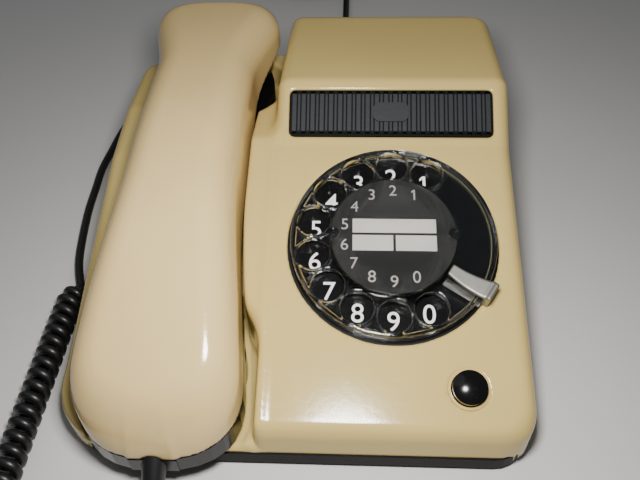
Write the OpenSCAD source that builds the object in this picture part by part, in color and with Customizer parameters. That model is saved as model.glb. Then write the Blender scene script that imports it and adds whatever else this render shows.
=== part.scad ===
/* [Body] */
// Width of the body, side to side
body_w = 178; // [176:1:182]
// Depth of the body, front to back
body_d = 204.6; // [203:0.1:208]
// Wall thickness of the moulded shells
wall = 2.5; // [2:0.1:2.8]
// Height of the rubber feet under the base
foot_h = 2; // [1.5:0.1:3]
// Height of the base tray's rim above the feet
tray_h = 6; // [5.5:0.1:6]
// Tilt of the dial face
face_angle = 19.8; // [19:0.1:20.5]
// Height of the dial face where it meets the front wall
face_z = 22.7; // [22:0.1:24]
// Tilt of the sounder grille's slope
grille_angle = 35; // [33:0.5:37]
// Left edge of the raised block beside the handset
block_x = -13; // [-13.5:0.5:-12.5]

/* [Dial] */
// Dial centre, across
dial_x = 38.5; // [37.5:0.5:39.5]
// Dial centre, up the face from the front edge
dial_up = 75.3; // [74:0.1:77]
// Radius of the opening in the face
dial_open_r = 41.3; // [41.3:0.1:41.8]
// Radius of the finger wheel
wheel_r = 39.7; // [39.4:0.1:39.8]
// Radius of the circle that the finger holes lie on
hole_ring_r = 31.8; // [31.5:0.1:32]
// Radius of a finger hole
finger_hole_r = 6.4; // [6:0.1:6.6]
// How far the dial turns from rest to the stop, in degrees
dial_travel = 326; // [300:1:328]

/* [Handset] */
// Length of the handset, front to back
handset_l = 212.4; // [211.6:0.2:212.6]
// Half width at the two ends
handset_end_w = 30.5; // [30:0.1:31]
// Half width at the grip
handset_grip_w = 22; // [21.6:0.1:22.4]
// Depth kept in front of the body for the handset's overhang
overhang = 9.7; // [9:0.1:10.5]
// Centre line of the handset
handset_x = -45.5; // [-46:0.1:-45]

/* [Button] */
// Radius of the ground button
button_r = 6.2; // [5.8:0.1:6.3]
// Travel of the ground button
button_travel = 2.5; // [2:0.1:3]

/* [Cords] */
// Thickness of the line cord
line_d = 4.5; // [4:0.1:4.6]
// Outer diameter of the curled part of the handset cord
curl_d = 12; // [11:0.5:12]
// Thickness of the handset cord's wire
lead_d = 4; // [3.6:0.1:4]

/* [Hidden] */
$fn = 64;

// Body outline and heights
total_d = body_d + overhang;
front_y = -total_d / 2 + overhang;
rear_y = total_d / 2;
side_x = body_w / 2;
shell_z = foot_h + tray_h;
skirt_z = shell_z - 3.5;
crease_y = front_y + 113.05;
crease_z = face_z + (crease_y - front_y) * tan(face_angle);
slope_len = 29.5;
ridge_y = crease_y + slope_len * cos(grille_angle);
ridge_z = crease_z + slope_len * sin(grille_angle);
rear_z = ridge_z - 2.2;
tray_floor = 2;
screw_places = [[-79, 88], [80, 92], [-82.5, -58], [80, -60]];
board_posts = [[-4, -84], [70, -84], [-4, 28], [70, 28]];
foot_places = [[-62, -72], [66, -80], [-66, 86], [66, 86]];
board_z = 9.5;
board_top = board_z + 1.6;

// Dial
hole_pitch = 360 / 14;
first_hole = 90 - hole_pitch;
gear_module = 0.7;
gear_teeth = 42;
pinion_teeth = 14;
gear_gap = gear_module * (gear_teeth + pinion_teeth) / 2;
pinion_angle = 135;
stop_angle = first_hole + 9 * hole_pitch - dial_travel - 2.7;
case_z = -25;
case_floor = -23.5;

// Ground button on the face
button_x = 64.6;
button_up = 18.4;

// Grille on its slope
grille_x = 38.5;
grille_w = 86;
grille_h = 20.5;
grille_up = 14.5;
rib_count = 21;

// Handset: its parting planes lie below the line z = top_z + top_slope * y
top_slope = 0.26;
top_z = 68.4;
// Straight runs of the arched top, each as its slope and its height at y = 0
arch = [[0.48, 92.2], [0.27, 84], [0.08, 84.6], [-0.05, 92.4]];
arch_ys = [-39, 3.2, 60];
grip_h = 30;
split_h = 21;
mouth_y = -69;
ear_y = 69;
mouth_floor = 11.2;
ear_floor = 44;
scoop_x = -12;
scoop_y = -68;
scoop_r = 27.2;
well_x = -13.2;
well_r = 36;
fit_gap = 1.2;
handset_front = -total_d / 2 + 1.6;
handset_rear = handset_front + handset_l;
end_round = 27;
end_power = 2.4;
mouth_cap_y = -66;
ear_bore = 21.6;
mouth_bore = 25;
handset_screw_ys = [-20, 26];
relief_y = -101;
relief_z = 18.5;
relief_dip = 33;
relief_l = 26;

// Ringer
gong_y = 66;
gong_z = 44;
ringer_x = 40.5;
large_x = 13.3;
large_r = 23;
small_x = 65.2;
small_r = 20.5;
pivot_z = 28;

// Hook switch
hook_y = 52;

// Cord routes, laid on the surface under the feet
line_x = 15;
line_z = 8;
gland_x = -72;
sleeve_dip = 11;
sleeve_l = 19;
coil_y = 322;
coil_outer = 35.05;
coil_inner = 18.95;
coil_x = 17 - coil_outer;
coil_h = 13.7;
line_r = line_d / 2;
line_route = [
    [15, 127.2, 4.4], [15, 133, 3.2], [15, 141, line_r], [15.5, 156, line_r],
    [16, 175, line_r], [16.5, 195, line_r], [17, 215, line_r], [17, 235, line_r],
    [17, 255, line_r], [17, 272, line_r], [17, 286, line_r], [17, 300, line_r],
    [17, 311, line_r]
];
lead_r = lead_d / 2;
curl_r = curl_d / 2;
tail_route = [
    [-72, 127.2, 4.4], [-73, 132, 3.3], [-77, 137, 2.3], [-84, 141, lead_r],
    [-93, 142, lead_r], [-102, 138, lead_r], [-109, 129, lead_r],
    [-113, 118, lead_r], [-115, 105, lead_r], [-116, 90, lead_r], [-117, 74, lead_r],
    [-116, 58, lead_r], [-115, 42, lead_r], [-113, 26, lead_r],
    [-110, 8, lead_r], [-107, -3, lead_r], [-104.5, -12, 3]
];
curl_route = [
    [-103.5, -12, curl_r], [-103.5, -40, curl_r], [-103, -70, curl_r],
    [-102.5, -100, curl_r], [-101.5, -120, curl_r], [-99, -137, curl_r],
    [-92, -151, curl_r], [-80, -159, curl_r], [-67, -158, curl_r],
    [-57, -150, curl_r]
];
lead_route = [
    [-56.6, -149.4, 3], [-52, -143, lead_r], [-48, -136, 2.1],
    [-45.8, -129, 2.8], [-45.5, -122.8, 4.3]
];

// Extrudes a side profile, drawn as [y, z], across the body from x0 to x1
module side_slab(x0, x1, points) {
    translate([x0, 0, 0]) rotate([90, 0, 90])
        linear_extrude(x1 - x0) polygon(points);
}

// Places children on the dial face, z outward, at a distance up the face
module on_face(x, up) {
    translate([x, front_y + up * cos(face_angle), face_z + up * sin(face_angle)])
        rotate([face_angle, 0, 0]) children();
}

// Places children on the grille slope, z outward
module on_slope(x, up) {
    translate([x, crease_y + up * cos(grille_angle), crease_z + up * sin(grille_angle)])
        rotate([grille_angle, 0, 0]) children();
}

// Ring of rectangular section
module ring(outer, inner, height) {
    difference() {
        cylinder(r = outer, h = height);
        translate([0, 0, -1]) cylinder(r = inner, h = height + 2);
    }
}

// Unit vector from a to b
function along(a, b) = (b - a) / norm(b - a);

// Moves the sides of a clockwise outline inwards by w
function inset(p, w) = [
    for (i = [0 : len(p) - 1])
        let (n = len(p), d = along(p[(i + n - 1) % n], p[i]), e = along(p[i], p[(i + 1) % n]))
        let (a = [d[1], -d[0]], b = [e[1], -e[0]])
        p[i] + w * (a + b) / (1 + a * b)
];

// Rounds an outline's corners, each with its own radius, in flats of an arc
function rounded(p, radii, steps = 6) = [
    for (i = [0 : len(p) - 1])
        let (n = len(p), a = along(p[i], p[(i + n - 1) % n]), b = along(p[i], p[(i + 1) % n]))
        let (half = acos(a * b) / 2, r = radii[i], reach = r / tan(half))
        let (mid = p[i] + (a + b) / norm(a + b) * r / sin(half))
        for (k = [0 : r > 0 ? steps : 0])
            let (start = p[i] + a * reach - mid, stop = p[i] + b * reach - mid)
            let (sweep = 180 - 2 * half, t = steps > 0 ? k / steps : 0)
            r > 0
                ? mid + (sin((1 - t) * sweep) * start + sin(t * sweep) * stop) / sin(sweep)
                : p[i]
];

// Side profiles of the raised block, the ledge beside it and the left side
block_corners = [
    [front_y, 0], [front_y, face_z], [crease_y, crease_z],
    [ridge_y, ridge_z], [rear_y, rear_z], [rear_y, 0]
];
ledge_corners = [
    [front_y, 0], [front_y, face_z], [crease_y + 4, crease_z + 1],
    [60, 61], [rear_y, 56], [rear_y, 0]
];
left_corners = [
    [front_y, 0], [front_y, 20], [-68, 20.5], [28, 48.5], [60, 52.8],
    [rear_y, 52], [rear_y, 0]
];
block_radii = [0, 7, 3, 5, 9, 0];
ledge_radii = [0, 7, 8, 8, 6, 0];
left_radii = [0, 6, 30, 12, 8, 6, 0];

// Plan of the body, drawn clockwise from the front left corner
plan_corners = [
    [-side_x, front_y], [-side_x, rear_y], [side_x, rear_y], [side_x, front_y]
];
plan_radii = [28, 13, 13, 14];

function shrunk(radii, w) = [for (r = radii) r > w ? r - w : r];

module body_plan(w, z0, height) {
    translate([0, 0, z0]) linear_extrude(height)
        polygon(rounded(inset(plan_corners, w), shrunk(plan_radii, w)));
}

// The body's solid form, inset by w and standing on z0
module body_form(w, z0) {
    intersection() {
        union() {
            side_slab(block_x + w, side_x, rounded(inset(block_corners, w), block_radii));
            side_slab(handset_x, block_x + w + 0.1,
                rounded(inset(ledge_corners, w), ledge_radii));
            side_slab(-side_x, handset_x + 0.1,
                rounded(inset(left_corners, w), left_radii));
        }
        body_plan(w, z0, 100);
    }
}

// Half width of the handset at a place along it
function ease(t) = t <= 0 ? 0 : t >= 1 ? 1 : t * t * (3 - 2 * t);
function handset_half(y) =
    handset_grip_w + (handset_end_w - handset_grip_w)
        * (ease((-5 - y) / 95) + ease((y - 48) / 55));

// Plan outline of the handset, grown by g, with its ends rounded
function end_cut(y, g) =
    let (d = max(handset_front - g + end_round - y, y - handset_rear - g + end_round, 0))
    let (t = min(d / end_round, 1))
    pow(1 - pow(t, end_power), 1 / end_power);
function handset_ys(g) = concat(
    [for (k = [0 : 8]) handset_front - g + end_round * (1 - cos(k * 90 / 8))],
    [for (k = [1 : 11]) handset_front + end_round + k * (handset_l - 2 * end_round) / 12],
    [for (k = [0 : 8]) handset_rear + g - end_round * (1 - sin(k * 90 / 8))]
);
function handset_outline(g) =
    let (ys = handset_ys(g))
    let (w = [for (y = ys) (handset_half(y) + g) * max(end_cut(y, g), 0.28)])
    concat(
        [for (i = [0 : len(ys) - 1]) [handset_x + w[i], ys[i]]],
        [for (i = [len(ys) - 1 : -1 : 0]) [handset_x - w[i], ys[i]]]
    );

module handset_plan(g, z0, height) {
    translate([0, 0, z0]) linear_extrude(height) polygon(handset_outline(g));
}

function top_at(y) = top_z + top_slope * y;
function arch_at(y) = min([for (a = arch) a[1] + a[0] * y]);

// Side profile of the handset down to a given depth, drawn clockwise
function upper_corners(depth) = let (f = handset_front - 0.4, b = handset_rear + 0.4) [
    [f, top_at(f) - depth],
    [f, arch_at(f) - 6],
    [f + 14, arch_at(f + 14)],
    for (y = arch_ys) [y, arch_at(y)],
    [b - 12, arch_at(b - 12)],
    [b, arch_at(b) - 12],
    [b, top_at(b) - depth]
];
upper_radii = [0, 9, 22, 120, 150, 150, 16, 11, 0];

// The space that the handset and its cups take in the body, grown by g
module cradle_space(g) {
    intersection() {
        handset_plan(fit_gap + g, 0, 200);
        side_slab(-120, 0, [
            [handset_front - 20, top_at(handset_front - 20) - grip_h - fit_gap - g],
            [handset_front - 20, 250], [handset_rear + 20, 250],
            [handset_rear + 20, top_at(handset_rear + 20) - grip_h - fit_gap - g]
        ]);
    }
    intersection() {
        handset_plan(fit_gap + g, 0, 200);
        translate([handset_x - 60, handset_front - 20, mouth_floor - g])
            cube([120, mouth_y + 32 - handset_front + 20 + g, 200]);
    }
    translate([handset_x, ear_y, ear_floor - g])
        cylinder(r = handset_end_w + fit_gap + g, h = 200);
    translate([scoop_x - scoop_r, scoop_y, mouth_floor + 1 - g])
        cylinder(r = scoop_r + g, h = 200);
    translate([handset_x, front_y - 20, mouth_floor + 1 - g])
        cube([scoop_x - handset_x + g, scoop_y - front_y + 20, 200]);
    intersection() {
        translate([handset_x, ear_y, ear_floor - g]) cylinder(r = well_r + g, h = 200);
        translate([handset_x, 0, 0]) cube([well_x - handset_x + g, 150, 200]);
    }
}

module base_plate() color("#1c1c1c") {
    difference() {
        body_plan(1.2, foot_h, tray_h);
        difference() {
            body_plan(3.4, foot_h + tray_floor, tray_h);
            for (p = screw_places) translate([p[0], p[1], 0]) cylinder(r = 5, h = 20);
            for (p = board_posts) translate([p[0], p[1], 0]) cylinder(r = 3, h = 20);
            for (x = [line_x, gland_x]) translate([x - 7, rear_y - 7.7, 0]) cube([14, 9, 20]);
        }
        for (p = screw_places) translate([p[0], p[1], 0]) {
            cylinder(r = 2.1, h = 20);
            translate([0, 0, -1]) cylinder(r = 3.9, h = foot_h + 1 + 2.5);
        }
        for (p = foot_places) translate([p[0], p[1], 0]) cylinder(r = 2.5, h = 20);
        for (k = [0 : 4]) translate([14 + 9 * k, 82, 0]) cube([4, 12, 20]);
        translate([line_x, rear_y, line_z]) rotate([90, 0, 0])
            translate([0, 0, -5]) cylinder(r = 4.1, h = 20);
        translate([gland_x, rear_y, line_z]) rotate([90, 0, 0])
            translate([0, 0, -5]) cylinder(r = 4.1, h = 20);
    }
}

module rubber_feet() color("#202020") {
    for (p = foot_places) translate([p[0], p[1], 0]) {
        cylinder(r = 7, h = foot_h);
        cylinder(r = 2.4, h = foot_h + tray_floor + 1);
    }
}

module housing() color("#c8b991") {
    difference() {
        union() {
            body_form(0, shell_z);
            difference() {
                body_plan(0, skirt_z, shell_z - skirt_z + 1);
                body_plan(1.1, skirt_z - 1, shell_z - skirt_z + 2);
            }
        }
        difference() {
            body_form(wall, shell_z - 1);
            cradle_space(wall);
            for (p = screw_places) translate([p[0], p[1], 0]) cylinder(r = 4.4, h = 100);
        }
        cradle_space(0);
        for (p = screw_places) translate([p[0], p[1], 0]) cylinder(r = 1.7, h = 20);
        on_face(dial_x, dial_up) translate([0, 0, -wall - 3])
            cylinder(r = dial_open_r, h = 20);
        on_face(button_x, button_up) translate([0, 0, -wall - 3])
            cylinder(r = button_r + 0.9, h = 20);
        on_slope(grille_x, grille_up) translate([0, 0, -3]) linear_extrude(10)
            polygon(rounded(grille_corners(0.2), [2.4, 2.4, 2.4, 2.4]));
        translate([handset_x, hook_y, 0]) cylinder(r = 4.1, h = 60);
        for (x = [line_x, gland_x]) translate([x, rear_y, line_z]) rotate([90, 0, 0])
            translate([0, 0, -5]) cylinder(r = 4.1, h = 20);
    }
}

module housing_screws() color("#b9bbbd") {
    for (p = screw_places) translate([p[0], p[1], 0]) {
        translate([0, 0, foot_h + 0.4]) cylinder(r = 3.6, h = 2.1);
        translate([0, 0, foot_h + 0.4]) cylinder(r = 1.7, h = 15);
    }
}

function grille_corners(g) = let (w = grille_w / 2 + g, h = grille_h / 2 + g)
    [[-w, -h], [-w, h], [w, h], [w, -h]];

module grille() color("#41454a") {
    on_slope(grille_x, grille_up) {
        difference() {
            translate([0, 0, -2.6]) linear_extrude(2.2)
                polygon(rounded(grille_corners(0), [2.2, 2.2, 2.2, 2.2]));
            for (k = [0 : rib_count]) for (side = [-1, 1])
                translate([(k - rib_count / 2) * 3.9 - 1, side * 9.1 - 0.7, -4])
                    cube([2, 1.4, 6]);
        }
        for (k = [1 : rib_count])
            translate([(k - rib_count / 2 - 0.5) * 3.9 - 0.6, -9.3, -0.4])
                cube([1.2, 18.6, 0.9]);
        translate([0, 0, -4.2]) linear_extrude(1.6)
            polygon(rounded(grille_corners(2), [3, 3, 3, 3]));
    }
}

module grille_badge() color("#55595c") {
    on_slope(grille_x, grille_up) translate([0, 0, 0.5]) linear_extrude(0.9)
        polygon(rounded([[-7.5, -4.2], [-7.5, 4.2], [7.5, 4.2], [7.5, -4.2]], [3, 3, 3, 3]));
}

// Dial: everything is placed from the face, z outward
module in_dial() {
    on_face(dial_x, dial_up) children();
}

// Place of the governor beside the dial's shaft
module at_governor() {
    rotate([0, 0, pinion_angle]) translate([gear_gap, 0, 0])
        rotate([0, 0, -pinion_angle]) children();
}

module dial_case() color("#151515") {
    in_dial() {
        difference() {
            union() {
                translate([0, 0, -4.6]) cylinder(r = 45, h = 1.9);
                translate([0, 0, case_z]) cylinder(r = 28, h = 21);
            }
            difference() {
                translate([0, 0, case_floor]) cylinder(r = 26.5, h = 30);
                translate([0, 0, case_z]) cylinder(r = 5, h = 5);
                at_governor() translate([0, 0, case_z]) cylinder(r = 2.6, h = 5.5);
                for (a = [60, 180, 300]) rotate([0, 0, a]) translate([24, 0, case_z])
                    cylinder(r = 2.4, h = 13);
            }
            translate([0, 0, case_floor]) cylinder(r = 3.05, h = 5);
            at_governor() translate([0, 0, case_floor]) cylinder(r = 1.25, h = 5);
        }
    }
}

module number_plate() color("#141515") {
    in_dial() translate([0, 0, -2.7]) ring(40.2, 7, 1);
}

module finger_stop() color("#7c7c77") {
    in_dial() rotate([0, 0, stop_angle]) {
        translate([25.4, -2.2, 5.8]) cube([17, 4.4, 2]);
        translate([40.5, -3, 0.2]) cube([3, 6, 7.6]);
        translate([40.4, -3, -2.7]) cube([0.7, 6, 3]);
        translate([25, -4.4, -1.7]) cube([15.8, 3.4, 0.5]);
    }
}

module dial_frame() color("#b7a55e") {
    in_dial() translate([0, 0, -12]) difference() {
        cylinder(r = 26.2, h = 1.4);
        translate([0, 0, -1]) cylinder(r = 3.05, h = 4);
        at_governor() translate([0, 0, -1]) cylinder(r = 1.25, h = 4);
    }
}

module pulse_contacts() color("#c2a14a") {
    in_dial() {
        translate([12, -9, -10.6]) cube([8, 4, 5]);
        for (k = [0 : 2]) translate([9.5, -8.2, -9.6 + 1.4 * k]) cube([3, 0.4, 0.8]);
    }
}

module governor_cup() color("#a9a9a4") {
    in_dial() at_governor() translate([0, 0, -10.6]) ring(6.4, 5.7, 4.6);
}

module dial_spring() color("#8f9296") {
    in_dial() translate([0, 0, -19.6]) ring(8.5, 5.4, 3.4);
}

module finger_wheel() color("#c9ced1", 0.5) {
    in_dial() difference() {
        union() {
            translate([0, 0, 2.2]) cylinder(r = wheel_r, h = 3);
            translate([0, 0, -0.8]) ring(wheel_r, wheel_r - 1.6, 5);
            translate([0, 0, 5.2]) cylinder(r = 24.4, h = 1.4);
            translate([0, 0, -1.4]) cylinder(r = 6, h = 5);
        }
        translate([0, 0, -2]) cylinder(r = 3, h = 5);
        for (k = [0 : 9]) rotate([0, 0, first_hole + k * hole_pitch])
            translate([hole_ring_r, 0, 0]) cylinder(r = finger_hole_r, h = 10);
        for (x = [-23, 23]) translate([x, 0, 5.2]) cylinder(r = 2.3, h = 5);
    }
}

module number_card() color("#616160") {
    in_dial() translate([0, 0, 6.6]) difference() {
        cylinder(r = 23.9, h = 0.4);
        for (x = [-23, 23]) translate([x, 0, -1]) cylinder(r = 2.3, h = 5);
    }
}

module card_cover() color("#dfe3e6", 0.3) {
    in_dial() translate([0, 0, 7]) difference() {
        cylinder(r = 24.4, h = 1.1);
        for (x = [-23, 23]) translate([x, 0, -1]) cylinder(r = 2.3, h = 5);
    }
}

module cover_clips() color("#d5dade", 0.5) {
    in_dial() for (x = [-23, 23]) translate([x, 0, 5.2]) cylinder(r = 2.2, h = 3.5);
}

module dial_shaft() color("#9c9fa3") {
    in_dial() translate([0, 0, -23.2]) cylinder(r = 3, h = 26.2);
}

// Involute gear outline with stub teeth and a little backlash
function polar(r, a) = [r * cos(a), r * sin(a)];
function inv_angle(r, base) = let (t = sqrt(max(r * r / base / base - 1, 0)))
    (t * 180 / PI - atan(t));
function gear_outline(teeth) =
    let (pitch_r = gear_module * teeth / 2, base = pitch_r * cos(20))
    let (tip = pitch_r + 0.75 * gear_module, root = pitch_r - 1.05 * gear_module)
    let (start = max(base, root + 0.01), half = 84 / teeth + inv_angle(pitch_r, base))
    [for (i = [0 : teeth - 1]) let (c = i * 360 / teeth)
        each concat(
            [polar(root, c - half)],
            [for (k = [0 : 4]) let (r = start + (tip - start) * k / 4)
                polar(r, c - half + inv_angle(r, base))],
            [for (k = [4 : -1 : 0]) let (r = start + (tip - start) * k / 4)
                polar(r, c + half - inv_angle(r, base))],
            [polar(root, c + half)]
        )];

module drive_gear() color("#c8b36a") {
    in_dial() translate([0, 0, -15.4]) difference() {
        rotate([0, 0, pinion_angle]) linear_extrude(2) polygon(gear_outline(gear_teeth));
        translate([0, 0, -1]) cylinder(r = 3, h = 5);
    }
}

module pulse_cam() color("#d8d4c8") {
    in_dial() translate([0, 0, -9.5]) difference() {
        union() {
            cylinder(r = 6.5, h = 3);
            for (k = [0 : 9]) rotate([0, 0, 150 + k * 20])
                translate([6.6, 0, 0]) cylinder(r = 0.9, h = 3);
        }
        translate([0, 0, -1]) cylinder(r = 3, h = 5);
    }
}

module governor_shaft() color("#a8abad") {
    in_dial() at_governor() {
        translate([0, 0, -22.8]) cylinder(r = 1.2, h = 16.2);
        translate([0, 0, -15.4]) linear_extrude(2)
            rotate([0, 0, pinion_angle + 180 + 180 / pinion_teeth])
                polygon(gear_outline(pinion_teeth));
    }
}

module governor_weights() color("#b08d4a") {
    in_dial() at_governor() for (s = [0, 180]) rotate([0, 0, s]) {
        translate([1.2, -1.5, -9.6]) cube([3.6, 3, 3]);
    }
}

module on_button() {
    on_face(button_x, button_up) children();
}

module button_collar() color("#b9ae8c") {
    on_button() {
        ring(7.5, button_r + 0.3, 0.4);
        translate([0, 0, -wall - 2]) ring(7, button_r + 0.3, wall + 2.5);
    }
}

module button_cap() color("#15181b") {
    on_button() {
        translate([0, 0, -1]) cylinder(r = button_r, h = 4.4);
        translate([0, 0, 3.4]) intersection() {
            translate([0, 0, -9.3]) sphere(r = 11.2);
            cylinder(r = button_r, h = 4);
        }
        translate([0, 0, -9.2]) cylinder(r = 1.6, h = 9);
    }
}

module button_spring() color("#a2a5a8") {
    on_button() translate([0, 0, -6.8]) ring(4.2, 2.6, button_travel + 3);
}

module button_contacts() color("#c2a14a") {
    on_button() translate([0, 0, -12.4]) difference() {
        translate([-7, -7, 0]) cube([14, 14, 5.4]);
        translate([0, 0, -1]) cylinder(r = 2, h = 10);
    }
    for (x = [-5, 5]) translate([button_x + x, front_y + 21, board_top])
        cylinder(r = 1.2, h = 7.5);
}

module hook_plunger() color("#2a2a2a") {
    translate([handset_x, hook_y, 0]) {
        translate([0, 0, 12]) cylinder(r = 3, h = 20);
        translate([0, 0, 31]) cylinder(r = 5.5, h = 2);
        translate([0, 0, 31]) cylinder(r = 4, h = ear_floor + 1.7 - 31);
    }
}

module hook_spring() color("#a2a5a8") {
    translate([handset_x, hook_y, 18.6]) ring(5.2, 3.6, 12.2);
}

module hook_switch() color("#8c6a2e") {
    translate([handset_x, hook_y, foot_h + tray_floor]) difference() {
        translate([-11, -11, 0]) cube([22, 22, 14.4]);
        translate([0, 0, 7.5]) cylinder(r = 3.05, h = 20);
        translate([0, 0, 13.6]) cylinder(r = 5.6, h = 20);
    }
}

module ringer_frame() color("#8e9296") {
    translate([ringer_x, gong_y, foot_h + tray_floor]) {
        translate([-17, -10, 0]) cube([34, 20, 2]);
        for (y = [-9.9, 6.9]) difference() {
            translate([-4, y, 0]) cube([8, 3, 26.5]);
            translate([0, y - 1, pivot_z - foot_h - tray_floor]) rotate([-90, 0, 0])
                cylinder(r = 1.06, h = 5);
        }
    }
}

module ringer_coils() color("#7a3b22") {
    for (x = [-10.5, 10.5]) translate([ringer_x + x, gong_y, foot_h + tray_floor + 2]) {
        cylinder(r = 6.2, h = 18);
        cylinder(r = 2, h = 18.9);
    }
}

module ringer_magnet() color("#5d6063") {
    translate([ringer_x - 3, gong_y - 5, foot_h + tray_floor + 2]) cube([6, 10, 17]);
}

module ringer_pivot() color("#a8abad") {
    translate([ringer_x, gong_y - 9.9, pivot_z]) rotate([-90, 0, 0])
        cylinder(r = 1, h = 19.8);
}

module clapper() color("#b7babd") {
    translate([ringer_x, gong_y, pivot_z]) {
        difference() {
            union() {
                translate([-13, -3, -1.6]) cube([26, 6, 3.2]);
                cylinder(r = 0.9, h = 19);
                translate([0, 0, 19]) sphere(r = 2.6);
            }
            translate([0, -6, 0]) rotate([-90, 0, 0]) cylinder(r = 1.06, h = 12);
        }
    }
}

// Bell gong standing mouth down on its post
module gong(r, h) {
    difference() {
        rotate_extrude() polygon(concat(
            [for (k = [0 : 8]) [r * cos(k * 10), h * sin(k * 10) / sin(80)]],
            [[0, h], [0, h - 1.4]],
            [for (k = [8 : -1 : 0]) [(r - 1.4) * cos(k * 10), (h - 1.4) * sin(k * 10) / sin(80)]]
        ));
        cylinder(r = 2.2, h = h + 5);
    }
}

module gong_large() color("#c9c7bd") {
    translate([large_x, gong_y, gong_z]) gong(large_r, 15);
}

module gong_small() color("#c9c7bd") {
    translate([small_x, gong_y, gong_z]) gong(small_r, 14);
}

module gong_posts() color("#6d7073") {
    translate([large_x, gong_y, foot_h + tray_floor]) {
        cylinder(r = 3.4, h = gong_z + 13.5 - foot_h - tray_floor);
    }
    translate([small_x, gong_y, foot_h + tray_floor]) {
        cylinder(r = 3.4, h = gong_z + 12.5 - foot_h - tray_floor);
    }
}

module gong_screws() color("#b9bbbd") {
    translate([large_x, gong_y, gong_z + 13.5]) {
        cylinder(r = 2, h = 2);
        translate([0, 0, 1.6]) cylinder(r = 4, h = 2.2);
    }
    translate([small_x, gong_y, gong_z + 12.5]) {
        cylinder(r = 2, h = 2);
        translate([0, 0, 1.6]) cylinder(r = 4, h = 2.2);
    }
}

module circuit_board() color("#a07b34") {
    translate([-8, front_y + 9, board_z]) cube([82, 122, 1.6]);
    for (p = board_posts) translate([p[0], p[1], shell_z]) cylinder(r = 1.5, h = 1.5);
}

module speech_transformer() color("#55442c") {
    translate([0, 8, board_top]) cube([26, 22, 18]);
    translate([4, 4, board_top + 3]) cube([18, 30, 12]);
}

module line_capacitor() color("#c7a24c") {
    translate([29, 10, board_top]) cube([20, 16, 20]);
}

module resistors() color("#9a6b45") {
    for (k = [0 : 4]) translate([6 + 7 * k, -64, board_top + 2]) rotate([-90, 0, 0])
        cylinder(r = 1.5, h = 7);
}

module terminal_block() color("#d9d4c4") {
    translate([51, 8, board_top]) difference() {
        cube([21, 12, 9]);
        for (k = [0 : 3]) translate([3.5 + 4.7 * k, 6, 4]) cylinder(r = 1.6, h = 10);
    }
}

// Grommet in the rear wall with a sleeve that bends down to the surface
module gland(cord_r) {
    rotate([-90, 0, 0]) {
        translate([0, 0, -wall - 5.5]) cylinder(r = 4, h = wall + 5.5);
        cylinder(r = 4.8, h = 1.5);
    }
    translate([0, 1.4, 0]) rotate([-90 - sleeve_dip, 0, 0])
        cylinder(r1 = 3.8, r2 = cord_r + 0.6, h = sleeve_l);
}

module line_gland() color("#17181a") {
    translate([line_x, rear_y, line_z]) gland(line_r);
}

// Tube of n sides swept along a route
function tube_side(d) = along([0, 0, 0], cross(d, [0, 0, 1]));
function route_way(p, i) = along(p[max(i - 1, 0)], p[min(i + 1, len(p) - 1)]);
function tube_points(p, r, n) = [
    for (i = [0 : len(p) - 1])
        let (d = route_way(p, i), s = tube_side(d), u = cross(s, d))
        for (k = [0 : n - 1]) p[i] + r * (cos(k * 360 / n) * s + sin(k * 360 / n) * u)
];
function tube_faces(rings, n) = concat(
    [[for (k = [0 : n - 1]) k]],
    [for (i = [0 : rings - 2]) for (k = [0 : n - 1])
        [i * n + k, (i + 1) * n + k, (i + 1) * n + (k + 1) % n, i * n + (k + 1) % n]],
    [[for (k = [n - 1 : -1 : 0]) (rings - 1) * n + k]]
);
// Point at parameter t of the curve through p, from one point to the next
function smooth_at(p, i, t) =
    let (a = p[max(i - 1, 0)], b = p[i], c = p[i + 1], d = p[min(i + 2, len(p) - 1)])
    0.5 * (2 * b + (c - a) * t + (2 * a - 5 * b + 4 * c - d) * t * t
        + (3 * b - a - 3 * c + d) * t * t * t);
function smooth(p, steps) = concat(
    [for (i = [0 : len(p) - 2]) for (k = [0 : steps - 1]) smooth_at(p, i, k / steps)],
    [p[len(p) - 1]]
);
module tube(route, r, n, steps) {
    points = smooth(route, steps);
    polyhedron(tube_points(points, r, n), tube_faces(len(points), n), convexity = 6);
}

module line_cord() color("#141414") {
    tube(line_route, line_r, 8, 2);
}

module line_cord_coil() color("#141414") {
    translate([coil_x, coil_y, 0])
        ring(coil_outer + line_r, coil_inner - line_r, coil_h);
}

module line_plug() color("#1b1b1c") {
    translate([coil_x - 1.25, coil_y - 28.8, coil_h]) cube([32, 20, 11]);
}

module handset_gland() color("#17181a") {
    translate([gland_x, rear_y, line_z]) gland(lead_r);
}

module handset_cord_tail() color("#121212") {
    tube(tail_route, lead_r, 8, 2);
}

module handset_cord_curl() color("#121212") {
    tube(curl_route, curl_r, 12, 2);
}

module handset_cord_lead() color("#121212") {
    tube(lead_route, lead_r, 8, 2);
}

// Rounds the upper shell's long top edges, following each run of the arch
function crown_corners(w) = let (e = handset_end_w + 0.4 - w)
    [[-e, -90], [-e, -w], [e, -w], [e, -90]];
module crown(w) {
    intersection_for (a = arch)
        translate([handset_x, 0, a[1]]) rotate([atan(a[0]), 0, 0]) rotate([90, 0, 0])
            linear_extrude(400, center = true)
                polygon(rounded(crown_corners(w), [0, 13 - w, 13 - w, 0]));
}

// Solid form of the handset above a given depth, inset by w
module handset_form(w, depth) {
    intersection() {
        side_slab(-120, 20, rounded(inset(upper_corners(depth), w), shrunk(upper_radii, w)));
        handset_plan(-w, 0, 120);
        crown(w);
    }
}

// Everything under the sloping plane that lies depth below the top line
module below(depth) {
    side_slab(-120, 20, [
        [-130, 0], [-130, top_at(-130) - depth], [130, top_at(130) - depth], [130, 0]
    ]);
}

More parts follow.
